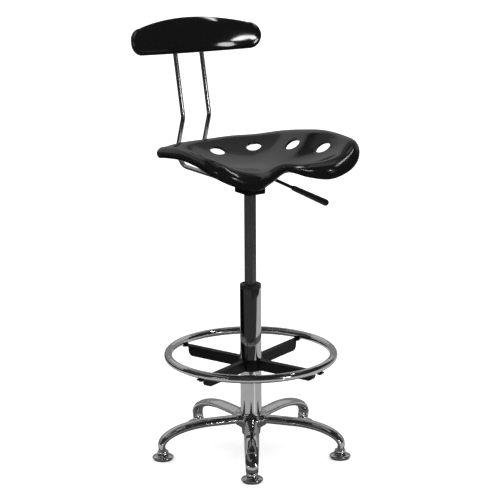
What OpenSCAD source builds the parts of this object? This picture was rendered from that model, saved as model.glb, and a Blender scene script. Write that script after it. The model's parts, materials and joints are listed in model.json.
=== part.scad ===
// Tractor-seat drafting stool: dished saddle seat and low backrest on a gas lift, with a
// foot ring on the column and five arched legs. Millimetres, +Z up, the sitter faces -Y.
// The origin is on the floor, on the column's axis.

/* [Seat] */
// Height of the bottom of the seat's dish above the floor
dish_z = 675; // [668:1:690]
// Thickness of the seat's moulded wall
shell_t = 5; // [4:0.5:7]
// How far the seat's rolled lip stands out past its crest
lip_w = 8.5; // [7:0.5:12]
// Diameter of the holes in the dish
hole_d = 36; // [28:1:40]

/* [Backrest] */
// Height of the backrest's lower edge above the floor
back_z = 913; // [905:1:925]
// Width of the backrest, across its curve
back_w = 358; // [330:1:370]
// Height of the backrest at its middle
back_h = 85; // [78:1:95]
// Thickness of the backrest
back_t = 14; // [11:1:16]
// How far the backrest is turned on its rods, off the level
back_roll = 2; // [-3:0.5:3]
// Distance between the two backrest rods
rod_gap = 73; // [66:1:80]
// Diameter of the backrest rods
rod_d = 11; // [9:0.5:12]

/* [Gas lift] */
// Diameter of the gas cylinder that rises out of the column
cylinder_d = 28; // [27:0.5:30]
// Diameter of the chromed column tube
column_d = 50; // [48:0.5:51]
// Height of the column's collar above the floor
collar_z = 407; // [395:1:410]

/* [Foot ring] */
// Diameter of the foot ring, to the middle of its tube
ring_d = 388; // [370:1:400]
// Diameter of the foot ring's tube
ring_tube_d = 19; // [16:0.5:22]
// Height of the middle of the foot ring's tube
ring_z = 236; // [200:1:270]
// Direction of the first arm of the foot ring's spider
spider_turn = 20.4; // [15:0.2:25]

/* [Base] */
// Number of legs
leg_count = 5; // [5]
// Distance from the column's axis to the middle of each foot
foot_r = 218; // [214:1:224]
// Direction of the first leg
base_turn = 20.4; // [15:0.2:25]
// Diameter of the bell-shaped glides
glide_d = 50; // [44:1:52]

/* [Lever] */
// Slope of the lever's outer arm below the horizontal
lever_drop = 27; // [20:1:32]
// Reach of the lever's grip from the column's axis
lever_reach = 222; // [205:1:225]

/* [Hidden] */

$fn = 64;

black = [0.03, 0.03, 0.035];
chrome = [0.75, 0.76, 0.78];
steel = [0.55, 0.56, 0.58];

// ---- Derived sizes ----

// Gas lift, from the bottom up
hub_floor_z = 62;
plate_top_z = hub_floor_z + 4;
washer_t = 1.5;
bearing_h = 3.8;
bearing_gap = 0.2;
lower_washer_z = plate_top_z;
bearing_z = lower_washer_z + washer_t;
upper_washer_z = bearing_z + bearing_h + bearing_gap;
shoulder_z = upper_washer_z + washer_t;
rod_end_z = 52;
piston_rod_d = 10;
piston_z = 318;
piston_top_z = 330;
cylinder_bottom_z = 296;
cylinder_bore = cylinder_d - 6;
guide_top_z = cylinder_bottom_z + 10;
valve_floor_z = 604;
tube_wall = 1.5;
tube_top_z = collar_z - 9;
run_gap = 0.075;

// Mechanism under the seat
box_x = 50;
box_y = 62;
box_z = 624;
box_wall = 2.5;
box_floor = 3;
plate_z = 656;
seat_plate_t = 3;
taper = 0.05;
socket_top_z = 641;
cone_top_z = 640;
button_d = 8;
button_top_z = 643.6;
pivot_x = 16;
pivot_z = 648;
pivot_d = 6;
lever_d = 8;
lever_bend_x = 64;
bolt_x = 33;
bolt_y = [-32, 56];

// Backrest rods: the run under the seat, the rise behind it and the lean of the backrest
rod_z = plate_z - rod_d / 2;
rod_front_y = 66;
rod_back_y = 265;
kink_y = 226;
kink_z = 768;
lean = 12.2;
rod_top = 75;
bracket_back_y = kink_y + (back_z - kink_z) * tan(lean);

// Foot ring
arm_top_z = ring_z - ring_tube_d / 2 - 0.1;
hub_h = 27;
knob_turn = spider_turn + 45;
knob_z = arm_top_z - hub_h / 2;

// Legs: a level root, a quarter of an ellipse, then a short end that turns in to the foot
leg_z = 78.5;
leg_root_r = 29;
leg_bend_r = 104;
leg_out_r = foot_r + 3;
leg_out_z = 33;
leg_end_z = 22;
leg_root = [17.5, 9.7];
leg_tip = [14.5, 8.2];
leg_wall = 1.5;
sole_t = 3;
stem_d = 8;

// The seat's crest on one side, from the rear middle to the front middle: each point has its
// place in plan, its height, how far the rolled lip comes down outside it, and how much softer
// than lip_w the roll is there. The soft part lies inside the point's place in plan
rim = [
    [0, 189.3, 718, 25, 1], [70, 185.1, 719.3, 26, 3], [128, 163.5, 721.2, 26, 8],
    [169.5, 114.1, 733, 25.3, 11], [183, 47.5, 743.9, 24, 5], [191.3, -23.1, 752.2, 24, 0],
    [197, -91.8, 751.1, 25, 1], [191.8, -147.8, 746, 34, 6], [155.9, -174.9, 726.3, 35, 15],
    [99.3, -178.9, 714.5, 37.5, 18], [51, -159.3, 712.3, 29, 15], [0, -146.3, 718.2, 19, 9]
];

// Holes in the dish: x, y, z, direction of the wall in plan and its slope
holes = [[0, 135, 697, 90, 19], [89.8, 115.8, 698, 47, 19], [135.7, 20.5, 714.5, -5, 32],
    [152.2, -76.6, 722.5, 8, 22]];

// ---- Curves and skins ----

// Catmull-Rom point between b and c
function blend(a, b, c, d, t) =
    0.5 * (2 * b + (c - a) * t + (2 * a - 5 * b + 4 * c - d) * t * t
           + (3 * b - a - 3 * c + d) * t * t * t);

// Smooth closed curve through the points, with steps points on each span
function closed_curve(p, steps) = let (n = len(p)) [
    for (i = [0 : n - 1], k = [0 : steps - 1])
        blend(p[(i + n - 1) % n], p[i], p[(i + 1) % n], p[(i + 2) % n], k / steps)
];

// Outline of a rectangle with round corners, centred on the origin
function round_rect(w, l, r, steps = 6) = [
    for (c = [[1, 1, 0], [-1, 1, 90], [-1, -1, 180], [1, -1, 270]], k = [0 : steps])
        [c[0] * (w / 2 - r) + r * cos(c[2] + 90 * k / steps),
         c[1] * (l / 2 - r) + r * sin(c[2] + 90 * k / steps)]
];

// Two triangles for each cell of a stack of rings with n points each
function ring_faces(rings, n, wrap) = [
    for (j = [0 : rings - (wrap ? 1 : 2)], i = [0 : n - 1], half = [0, 1])
        let (a = j * n + i, b = j * n + (i + 1) % n,
             c = ((j + 1) % rings) * n + (i + 1) % n, d = ((j + 1) % rings) * n + i)
        half == 0 ? [a, c, b] : [a, d, c]
];

// Solid with a skin over a stack of rings, closed by its first and last rings
module skin(rings) {
    n = len(rings[0]);
    last = (len(rings) - 1) * n;
    ends = [[for (i = [0 : n - 1]) i], [for (i = [n - 1 : -1 : 0]) last + i]];
    polyhedron([for (ring = rings) each ring],
        concat(ring_faces(len(rings), n, false), ends), convexity = 8);
}

// Open tube: its rings go out along the outside and come back along the inside
module tube_skin(rings) {
    polyhedron([for (ring = rings) each ring],
        ring_faces(len(rings), len(rings[0]), true), convexity = 8);
}

module pipe(d, bore, z0, z1) {
    translate([0, 0, z0]) difference() {
        cylinder(d = d, h = z1 - z0);
        translate([0, 0, -1]) cylinder(d = bore, h = z1 - z0 + 2);
    }
}

// Round bar along a path in the XY plane, with each inner corner bent to a radius
function unit(v) = v / norm(v);
function heading(v) = atan2(v[1], v[0]);
function turn_at(p, i) = let (a = unit(p[i] - p[i - 1]), b = unit(p[i + 1] - p[i]))
    atan2(a[0] * b[1] - a[1] * b[0], a * b);
function bar_ring(at, angle, d) = [
    for (i = [0 : 23]) let (q = d / 2 * [cos(15 * i), sin(15 * i)])
        [at[0] - sin(angle) * q[0], at[1] + cos(angle) * q[0], q[1]]
];
function elbow(p, i, r, d) = let (
    turn = turn_at(p, i),
    side = sign(turn),
    u = unit(p[i] - p[i - 1]),
    from = heading(u),
    centre = p[i] - u * r * tan(abs(turn) / 2) + side * r * [-u[1], u[0]],
    steps = ceil(abs(turn) / 9)
) [for (k = [0 : steps]) let (angle = from + turn * k / steps)
    bar_ring(centre + side * r * [sin(angle), -cos(angle)], angle, d)];

module bent_bar(p, r, d) {
    last = len(p) - 1;
    skin(concat(
        [bar_ring(p[0], heading(p[1] - p[0]), d)],
        [for (i = [1 : last - 1]) each elbow(p, i, r[i], d)],
        [bar_ring(p[last], heading(p[last] - p[last - 1]), d)]));
}

// ---- Seat ----

function mirrored(p) = [-p[0], p[1], p[2], p[3], p[4]];
outline = closed_curve(
    concat(rim, [for (i = [len(rim) - 2 : -1 : 1]) mirrored(rim[i])]), 3);
crest = [for (c = outline) let (k = 1 - c[4] / norm([c[0], c[1]]))
    [k * c[0], k * c[1], c[2], c[3], c[4]]];

// Height of the dish at a fraction s of the way from its middle to the crest c: a parabola
// that rounds over into the crest
round_over = 0.9;
function dish_rise(s) =
    s < round_over ? s * s / round_over : 1 - (1 - s) * (1 - s) / (1 - round_over);
function dish(c, s) = dish_z + (c[2] - dish_z) * dish_rise(s);

// Lip outside the crest, at an angle a from 0 on the crest to lip_end at its lower edge
lip_end = 125;
function lip_fall(a) = (1 - cos(a)) / (1 - cos(lip_end));
function outward(c) = unit([c[0], c[1]]);
function lip_point(c, a, inset) =
    let (o = outward(c), w = (lip_w + c[4] - inset) * sin(a))
    [c[0] + o[0] * w, c[1] + o[1] * w, c[2] - inset - (c[3] - inset) * lip_fall(a)];
function dish_point(c, s, inset) = [s * c[0], s * c[1], dish(c, s) - inset];

dish_steps = [0.15, 0.32, 0.47, 0.6, 0.72, 0.83, 0.9, 0.95, 0.98];
lip_steps = [for (a = [0 : 25 : lip_end]) a];

module seat_surface() {
    top = [for (s = dish_steps) [for (c = crest) dish_point(c, s, 0)]];
    lip_out = [for (a = lip_steps) [for (c = crest) lip_point(c, a, 0)]];
    lip_in = [for (a = lip_steps) [for (c = crest) lip_point(c, lip_end - a, shell_t)]];
    under = [for (i = [len(dish_steps) - 1 : -1 : 0])
        [for (c = crest) dish_point(c, dish_steps[i], shell_t * 1.15)]];
    skin(concat(top, lip_out, lip_in, under));
}

module hole_cutter(h) {
    translate([h[0], h[1], h[2]]) rotate([0, 0, h[3]]) rotate([0, -h[4], 0]) hull() {
        translate([0, 0, -9]) cylinder(d = hole_d, h = 1, $fn = 36);
        translate([0, 0, 8]) cylinder(d = hole_d, h = 1, $fn = 36);
    }
}

module at_bolts() {
    for (x = [-bolt_x, bolt_x], y = bolt_y) translate([x, y, 0]) children();
}

module seat_shell() {
    boss_z = plate_z + seat_plate_t + 0.1;
    boss_top_z = dish_z + 1.5;
    color(black) difference() {
        union() {
            seat_surface();
            at_bolts() hull() {
                translate([0, 0, boss_z]) cylinder(d = 19, h = 1, $fn = 32);
                translate([0, 0, boss_top_z - 1]) cylinder(d = 21, h = 1, $fn = 32);
            }
        }
        for (h = holes) hole_cutter(h);
        for (i = [1 : len(holes) - 1]) mirror([1, 0, 0]) hole_cutter(holes[i]);
        at_bolts() translate([0, 0, boss_z - 1]) cylinder(d = 10.2, h = 9.2, $fn = 32);
    }
}

module seat_inserts() {
    color("goldenrod") at_bolts()
        pipe(10, 6, plate_z + seat_plate_t + 0.1, plate_z + seat_plate_t + 8);
}

module seat_plate() {
    front_y = -45;
    back_y = 112;
    color(black) difference() {
        translate([0, (front_y + back_y) / 2, plate_z]) linear_extrude(seat_plate_t)
            polygon(round_rect(84, back_y - front_y, 10));
        at_bolts() translate([0, 0, plate_z - 1]) cylinder(d = 6.4, h = 5);
    }
}

module seat_bolts() {
    color(steel) at_bolts() {
        translate([0, 0, plate_z - 4]) cylinder(d = 11, h = 4);
        translate([0, 0, plate_z]) cylinder(d = 6, h = 10);
    }
}

// ---- Mechanism and lever ----

module mechanism_housing() {
    h = plate_z - box_z;
    color(black) translate([0, 0, box_z]) difference() {
        linear_extrude(h) polygon(round_rect(box_x, box_y, 7));
        translate([0, 0, box_floor]) linear_extrude(h)
            polygon(round_rect(box_x - 2 * box_wall, box_y - 2 * box_wall, 4.5));
        translate([0, 0, -1]) cylinder(d = cylinder_d + 0.6, h = box_floor + 2);
        translate([pivot_x, 0, pivot_z - box_z]) rotate([90, 0, 0])
            cylinder(d = pivot_d, h = box_y + 2, center = true);
        translate([box_x / 2 - box_wall - 1, -6, h - 17]) cube([box_wall + 2, 12, 18]);
    }
}

// Diameter of the cylinder's upper cone at height z
function cone_d(z) = cylinder_d - (z - box_z) * taper;

module taper_socket() {
    z0 = box_z + box_floor;
    color(steel) translate([0, 0, z0]) difference() {
        cylinder(d = cylinder_d + 8, h = socket_top_z - z0);
        translate([0, 0, -1])
            cylinder(d1 = cone_d(z0 - 1), d2 = cone_d(socket_top_z + 1), h = socket_top_z - z0 + 2);
    }
}

module lever_rocker() {
    toe_z = 644.4;
    color(steel) difference() {
        union() {
            translate([pivot_x, 0, pivot_z]) rotate([90, 0, 0])
                cylinder(d = 13, h = 12, center = true);
            translate([-4, -5, toe_z]) cube([pivot_x + 4, 10, 5]);
        }
        translate([pivot_x, 0, pivot_z]) rotate([90, 0, 0])
            cylinder(d = pivot_d + 0.12, h = 14, center = true);
    }
}

lever_path = [
    [pivot_x + 6.4, pivot_z], [lever_bend_x, pivot_z],
    [lever_reach - 12, pivot_z - (lever_reach - 12 - lever_bend_x) * tan(lever_drop)]
];

module lever_rod() {
    color(black) rotate([90, 0, 0]) bent_bar(lever_path, [0, 16, 0], lever_d);
}

module lever_grip() {
    near = 62;
    far = (lever_reach - lever_bend_x) / cos(lever_drop);
    bore_end = (lever_reach - 12 - lever_bend_x) / cos(lever_drop);
    round_end = [for (a = [15 : 15 : 90]) [8.2 * cos(a), far - 8.2 + 8.2 * sin(a)]];
    color(black) translate([lever_bend_x, 0, pivot_z]) rotate([0, 90 + lever_drop, 0])
        rotate_extrude() polygon(concat(
            [[0, bore_end], [lever_d / 2, bore_end], [lever_d / 2, near], [5, near],
             [6.3, near + 3], [6.6, near + 8], [8.2, far - 8.2]], round_end));
}

module lever_pivot_pin() {
    color(steel) translate([pivot_x, 0, pivot_z]) rotate([90, 0, 0]) {
        translate([0, 0, -box_y / 2 - 1]) cylinder(d = pivot_d, h = box_y + 2);
        translate([0, 0, box_y / 2]) cylinder(d = pivot_d + 3, h = 2);
    }
}

module release_button() {
    color(steel) translate([0, 0, 614]) cylinder(d = button_d, h = button_top_z - 614);
}

// ---- Gas lift ----

module gas_cylinder() {
    color([0.12, 0.12, 0.13]) rotate_extrude() polygon([
        [cylinder_bore / 2, cylinder_bottom_z], [cylinder_d / 2, cylinder_bottom_z],
        [cylinder_d / 2, box_z], [cone_d(cone_top_z) / 2, cone_top_z],
        [button_d / 2 + 0.06, cone_top_z], [button_d / 2 + 0.06, valve_floor_z],
        [cylinder_bore / 2, valve_floor_z]
    ]);
}

module rod_guide() {
    color("dimgray") pipe(cylinder_bore, piston_rod_d + 0.12, cylinder_bottom_z, guide_top_z);
}

module piston() {
    color(steel) pipe(cylinder_bore - 0.12, piston_rod_d, piston_z, piston_top_z);
}

module piston_rod() {
    color(chrome) union() {
        translate([0, 0, rod_end_z]) cylinder(d = piston_rod_d, h = piston_top_z - rod_end_z);
        translate([0, 0, shoulder_z]) cylinder(d = 14, h = 2);
    }
}

module retaining_clip() {
    color(steel) pipe(18, piston_rod_d, 59.8, 61.4);
}

module upper_thrust_washer() {
    color(steel) pipe(30, piston_rod_d, upper_washer_z, shoulder_z);
}

module lower_thrust_washer() {
    color(steel) pipe(30, piston_rod_d + 0.6, lower_washer_z, bearing_z);
}

module thrust_bearing() {
    balls = 8;
    mid_z = bearing_z + bearing_h / 2;
    color(steel) union() {
        pipe(27, 13, mid_z - 1.1, mid_z + 1.1);
        for (i = [0 : balls - 1]) rotate([0, 0, i * 360 / balls])
            translate([10, 0, mid_z]) sphere(d = bearing_h);
    }
}

module bump_stop() {
    color("dimgray") pipe(24, piston_rod_d, shoulder_z + 2, shoulder_z + 24);
}

module column_tube() {
    color(chrome) pipe(column_d, column_d - 2 * tube_wall, hub_floor_z, tube_top_z);
}

module column_end_plate() {
    color(steel) pipe(column_d - 2 * tube_wall, piston_rod_d + 0.12, hub_floor_z, plate_top_z);
}

module guide_bush() {
    inner = cylinder_d / 2 + run_gap;
    outer = column_d / 2;
    color(black) rotate_extrude() polygon([
        [inner, tube_top_z - 70], [outer - tube_wall, tube_top_z - 70],
        [outer - tube_wall, tube_top_z], [outer, tube_top_z], [outer, collar_z - 1.2],
        [outer - 1.2, collar_z], [outer - 3.4, collar_z], [outer - 4.2, collar_z - 1.6],
        [inner + 3, collar_z - 1.6], [inner + 2.2, collar_z], [inner, collar_z]
    ]);
}

// ---- Base ----

// Outline of a leg across its run, half sizes h, centred on its middle line
function leg_outline(h) = [for (i = [0 : 19]) [h[0] * cos(18 * i), h[1] * sin(18 * i)]];

// Middle line of a leg, from t = 0 at the bend to t = 1 where it points down, and its direction
function leg_middle(t) = [leg_bend_r + (leg_out_r - leg_bend_r) * sin(90 * t),
                          leg_out_z + (leg_z - leg_out_z) * cos(90 * t)];
function leg_heading(t) =
    unit([(leg_out_r - leg_bend_r) * cos(90 * t), -(leg_z - leg_out_z) * sin(90 * t)]);

// One ring of a leg, across its heading u
function leg_ring(m, u, h) = [
    for (q = leg_outline(h)) [m[0] - u[1] * q[1], q[0], m[1] + u[0] * q[1]]
];

function leg_rings(inset) = concat(
    [leg_ring([leg_root_r, leg_z], [1, 0], leg_root - [inset, inset])],
    [for (k = [0 : 12]) let (t = k / 12)
        leg_ring(leg_middle(t), leg_heading(t),
            leg_root + (leg_tip - leg_root) * t * t - [inset, inset])],
    [leg_ring([foot_r + 1, leg_end_z], [0, -1], leg_tip - [inset, inset])]
);

module leg(k) {
    outside = leg_rings(0);
    inside = leg_rings(leg_wall);
    count = len(inside);
    color(chrome) rotate([0, 0, base_turn + (k - 1) * 360 / leg_count])
        tube_skin(concat(outside, [for (i = [count - 1 : -1 : 0]) inside[i]]));
}

module at_legs() {
    for (k = [0 : leg_count - 1]) rotate([0, 0, base_turn + k * 360 / leg_count]) children();
}

module base_hub() {
    bore = column_d / 2;
    color(chrome) difference() {
        union() {
            rotate_extrude() polygon([
                [bore, hub_floor_z], [18, hub_floor_z], [18, 40], [21, 40], [22, 42], [22.5, 55],
                [28, 59], [31, 62], [31, 86], [30, 88.5], [28, 89.5], [28, 93], [27, 94], [bore, 94]
            ]);
            at_legs() translate([bore + 1, 0, leg_z]) rotate([90, 0, 90])
                linear_extrude(38 - bore - 1) polygon(round_rect(41, 26, 11));
        }
        at_legs() translate([leg_root_r, 0, leg_z]) rotate([90, 0, 90])
            linear_extrude(20) polygon(leg_outline(leg_root));
    }
}

module glide(k) {
    neck_z = leg_end_z - 0.2;
    rim_r = glide_d / 2;
    bell = [for (a = [0 : 15 : 90])
        [rim_r - 2 - 10 * sin(a), 9 + (neck_z - 12) * (1 - cos(a))]];
    color(chrome) rotate([0, 0, base_turn + (k - 1) * 360 / leg_count]) translate([foot_r, 0, 0])
        rotate_extrude() polygon(concat(
            [[0, sole_t], [rim_r - 1.5, sole_t], [rim_r, sole_t + 1.5], [rim_r, 7.5]], bell,
            [[11, neck_z], [stem_d / 2, neck_z], [stem_d / 2, 34], [0, 34]]));
}

module glide_soles() {
    color("dimgray") at_legs() translate([foot_r, 0, 0]) cylinder(d = glide_d - 6, h = sole_t);
}

module leg_bushes() {
    color(steel) at_legs() translate([foot_r, 0, leg_end_z]) difference() {
        translate([1.7, 0, 0]) rotate([0, 0, 90]) linear_extrude(9)
            polygon(leg_outline(leg_tip - [2.3, 2.3]));
        translate([0, 0, -1]) cylinder(d = stem_d + 0.1, h = 11);
    }
}

// ---- Foot ring ----

module ring_tube(d) {
    translate([0, 0, ring_z]) rotate_extrude($fn = 96) translate([ring_d / 2, 0]) circle(d = d);
}

module at_arms() {
    for (k = [0 : 3]) rotate([0, 0, spider_turn + 90 * k]) children();
}

module foot_ring() {
    color(chrome) difference() {
        ring_tube(ring_tube_d);
        ring_tube(ring_tube_d - 2 * tube_wall);
        at_arms() translate([ring_d / 2, 0, ring_z - ring_tube_d]) cylinder(d = 6, h = ring_tube_d);
    }
}

// Side view of one arm: flat on top, deep below, with a round corner near the ring
module spider_arm() {
    deep = 24.5;
    end_r = ring_d / 2 - 17;
    corner = 12;
    tab_r = ring_d / 2 + 8;
    low = [for (a = [0 : 15 : 90])
        [end_r - corner + corner * sin(a), arm_top_z - deep + corner - corner * cos(a)]];
    half_w = 7.5;
    translate([0, half_w, 0]) rotate([90, 0, 0]) linear_extrude(2 * half_w)
        polygon(concat([[column_d / 2 + 1.5, arm_top_z], [column_d / 2 + 1.5, arm_top_z - deep]],
            low, [[end_r + 2, arm_top_z - 3.4], [tab_r, arm_top_z - 3.4], [tab_r, arm_top_z]]));
}

module ring_spider() {
    color(black) difference() {
        union() {
            translate([0, 0, arm_top_z - hub_h]) cylinder(d = column_d + 7, h = hub_h);
            at_arms() spider_arm();
            rotate([0, 0, knob_turn]) translate([column_d / 2 + 1.5, 0, knob_z]) rotate([0, 90, 0])
                cylinder(d = 20, h = 12);
        }
        translate([0, 0, arm_top_z - hub_h - 1])
            cylinder(d = column_d + 2 * run_gap, h = hub_h + 2);
        rotate([0, 0, knob_turn]) translate([column_d / 2 - 4, 0, knob_z]) rotate([0, 90, 0])
            cylinder(d = 8.12, h = 30);
        at_arms() translate([ring_d / 2, 0, arm_top_z - 6]) cylinder(d = 6, h = 8);
    }
}

module ring_screws() {
    color(steel) at_arms() translate([ring_d / 2, 0, 0]) {
        translate([0, 0, arm_top_z - 6.4]) cylinder(d = 11, h = 3);
        translate([0, 0, arm_top_z - 3.4]) cylinder(d = 6, h = 12);
    }
}

module at_knob() {
    rotate([0, 0, knob_turn]) translate([column_d / 2, 0, knob_z]) rotate([0, 90, 0]) children();
}

module clamp_stud() {
    color(steel) at_knob() translate([0, 0, 0.4]) cylinder(d = 8, h = 30);
}

module clamp_knob() {
    lobes = 6;
    color(black) at_knob() difference() {
        translate([0, 0, 16]) cylinder(d = 38, h = 18);
        translate([0, 0, 15]) cylinder(d = 8, h = 15.4);
        for (i = [0 : lobes - 1]) rotate([0, 0, i * 360 / lobes])
            translate([23, 0, 15]) cylinder(d = 14, h = 20);
    }
}

// ---- Backrest ----

module back_rod(x) {
    tip = [bracket_back_y + rod_top * sin(lean), back_z + rod_top * cos(lean)];
    path = [[rod_front_y, rod_z], [rod_back_y, rod_z], [kink_y, kink_z], tip];
    color(chrome) translate([x, 0, 0]) rotate([90, 0, 90]) bent_bar(path, [0, 38, 24, 0], rod_d);
}

// Frame of the rods' tops: its Z axis runs up them, its origin is at the backrest's lower edge
module rod_frame() {
    translate([0, bracket_back_y, back_z]) rotate([-lean, 0, 0]) children();
}

// Frame of the backrest, turned a little on the rods about its own middle
module backrest_frame() {
    rod_frame() translate([0, 0, end_h / 2]) rotate([0, back_roll, 0])
        translate([0, 0, -end_h / 2]) children();
}

bend_r = 520;
shell_back_y = -10.6;
end_h = 63;
half_arc = bend_r * asin(back_w / 2 / bend_r) * PI / 180;
straight = half_arc - end_h / 2;

// Half height and middle height of the backrest at arc distance s from its middle
function edge_dip(s) = let (over = abs(s) - straight)
    over <= 0 ? end_h / 2 : sqrt(max(0.01, pow(end_h / 2, 2) - over * over));
function crown(s) = abs(s) < straight ? (back_h - end_h) * pow(cos(90 * s / straight), 0.85) : 0;

// Section of the backrest across its length: flat behind with round corners, bulged in front.
// Each point is [thickness, height] from the section's middle
function back_section(t, h) = let (r = min(t, h) * 0.46) concat(
    [for (a = [-90 : 22.5 : 0]) [t / 2 - r + r * cos(a), r - h / 2 + r * sin(a)]],
    [for (a = [0 : 22.5 : 90]) [t / 2 - r + r * cos(a), h / 2 - r + r * sin(a)]],
    [for (a = [90 : 15 : 270])
        [-t / 2 * pow(abs(cos(a)), 0.85), h / 2 * sign(sin(a)) * pow(abs(sin(a)), 0.85)]]
);

function back_ring(s) = let (
    h = 2 * edge_dip(s) + crown(s),
    t = back_t * min(1, 0.35 + 0.65 * edge_dip(s) / (end_h / 2)),
    mid = end_h / 2 + crown(s) / 2,
    turn = s / bend_r * 180 / PI
) [for (q = back_section(t, h))
    [(bend_r + q[0]) * sin(turn),
     shell_back_y - back_t / 2 - bend_r + (bend_r + q[0]) * cos(turn),
     mid + q[1]]];

back_stations = concat(
    [for (a = [90 : -12 : 6]) -straight - end_h / 2 * sin(a)],
    [for (k = [0 : 16]) straight * (k / 8 - 1)],
    [for (a = [6 : 12 : 90]) straight + end_h / 2 * sin(a)]
);

module backrest_shell() {
    color(black) backrest_frame() difference() {
        skin([for (s = back_stations) back_ring(s)]);
        for (x = [-16, 16], z = [22, 52])
            translate([x, shell_back_y + 1, z]) rotate([90, 0, 0]) cylinder(d = 5, h = 10);
    }
}

module backrest_bracket() {
    plate_y = shell_back_y + 0.2;
    color(black) difference() {
        union() {
            backrest_frame() translate([-52, plate_y, 10]) cube([104, 3.2, 54]);
            rod_frame() for (x = [-rod_gap / 2, rod_gap / 2])
                translate([x, 0, 10]) cylinder(d = rod_d + 6, h = rod_top - 10 + 3);
        }
        rod_frame() for (x = [-rod_gap / 2, rod_gap / 2])
            translate([x, 0, 5]) cylinder(d = rod_d, h = rod_top - 5);
        backrest_frame() for (x = [-16, 16], z = [22, 52])
            translate([x, plate_y - 1, z]) rotate([-90, 0, 0]) cylinder(d = 5, h = 6);
    }
}

module backrest_screws() {
    head_y = shell_back_y + 3.4;
    color(steel) backrest_frame() for (x = [-16, 16], z = [22, 52])
        translate([x, head_y, z]) rotate([90, 0, 0]) {
            cylinder(d = 5, h = 11);
            translate([0, 0, -3]) cylinder(d = 9, h = 3);
        }
}

seat_shell();
seat_inserts();
seat_plate();
seat_bolts();
mechanism_housing();
taper_socket();
lever_rocker();
lever_rod();
lever_grip();
lever_pivot_pin();
release_button();
gas_cylinder();
rod_guide();
piston();
piston_rod();
retaining_clip();
upper_thrust_washer();
thrust_bearing();
lower_thrust_washer();
bump_stop();
column_tube();
column_end_plate();
guide_bush();
base_hub();
leg(1);  // leg_1
leg(2);  // leg_2
leg(3);  // leg_3
leg(4);  // leg_4
leg(5);  // leg_5
glide(1);  // glide_1
glide(2);  // glide_2
glide(3);  // glide_3
glide(4);  // glide_4
glide(5);  // glide_5
glide_soles();
leg_bushes();
foot_ring();
ring_spider();
ring_screws();
clamp_knob();
clamp_stud();
back_rod(-rod_gap / 2);  // left_back_rod
back_rod(rod_gap / 2);  // right_back_rod
backrest_shell();
backrest_bracket();
backrest_screws();
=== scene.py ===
"""Looks of the drafting chair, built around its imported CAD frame.

Lengths are in metres. The parts that show most are rebuilt here as smooth meshes on the sizes of
their CAD nodes. The small parts and the hidden ones keep their CAD nodes and only get materials.
"""

import json
import math

import bmesh
import bpy
from mathutils import Matrix, Vector


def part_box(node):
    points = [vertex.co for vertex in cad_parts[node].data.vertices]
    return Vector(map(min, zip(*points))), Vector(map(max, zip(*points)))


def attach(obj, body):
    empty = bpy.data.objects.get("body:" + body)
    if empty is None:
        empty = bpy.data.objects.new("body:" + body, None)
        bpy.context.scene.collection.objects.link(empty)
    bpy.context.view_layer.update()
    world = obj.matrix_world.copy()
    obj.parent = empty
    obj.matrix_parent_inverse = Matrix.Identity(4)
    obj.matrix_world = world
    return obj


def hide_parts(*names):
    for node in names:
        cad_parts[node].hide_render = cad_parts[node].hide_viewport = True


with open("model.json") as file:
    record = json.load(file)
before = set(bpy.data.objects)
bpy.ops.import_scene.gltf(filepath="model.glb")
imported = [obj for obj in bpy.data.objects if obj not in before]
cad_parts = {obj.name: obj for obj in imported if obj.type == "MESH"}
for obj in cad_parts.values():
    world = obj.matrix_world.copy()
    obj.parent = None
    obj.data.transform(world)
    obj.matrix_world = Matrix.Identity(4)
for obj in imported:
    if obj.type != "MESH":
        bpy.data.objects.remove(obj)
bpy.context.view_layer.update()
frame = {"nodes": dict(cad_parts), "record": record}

MM = 0.001
UP = Vector((0, 0, 1))
X_AXIS = Vector((1, 0, 0))
Y_AXIS = Vector((0, 1, 0))
ON_AXIS = 1e-7


# ---- Meshes ----


def add_mesh(name, bm, body, stands_for, material, sharp=38):
    """Makes a piece from bm, smooth except along edges that turn more than sharp degrees.

    It rides on body and stands for the CAD nodes in stands_for.
    """
    bmesh.ops.recalc_face_normals(bm, faces=bm.faces)
    for face in bm.faces:
        face.smooth = True
    for edge in bm.edges:
        edge.smooth = edge.calc_face_angle(0) <= math.radians(sharp)
    mesh = bpy.data.meshes.new(name)
    bm.to_mesh(mesh)
    bm.free()
    piece = bpy.data.objects.new(name, mesh)
    bpy.context.scene.collection.objects.link(piece)
    mesh.materials.append(MATERIALS[material])
    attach(piece, body)
    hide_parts(*stands_for)
    return piece


def soften(bm, edge, sharper=60, clamp=False):
    """Rounds the edges of bm that turn more than sharper degrees."""
    rims = [e for e in bm.edges if e.calc_face_angle(0) > math.radians(sharper)]
    bmesh.ops.bevel(bm, geom=rims, offset=edge, segments=3, profile=0.5, affect="EDGES",
                    clamp_overlap=clamp)


def radius_of(node):
    lo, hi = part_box(node)
    return (hi.x - lo.x) / 2


def loft(bm, rings, closed=False, capped=True):
    """Skins a list of rings of equal length. closed joins the last ring to the first."""
    verts = [[bm.verts.new(p) for p in ring] for ring in rings]
    n = len(rings[0])
    last = len(rings) if closed else len(rings) - 1
    for j in range(last):
        a, b = verts[j], verts[(j + 1) % len(verts)]
        for i in range(n):
            k = (i + 1) % n
            bm.faces.new((a[i], a[k], b[k], b[i]))
    if capped and not closed:
        bm.faces.new(verts[0])
        bm.faces.new(reversed(verts[-1]))


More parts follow.
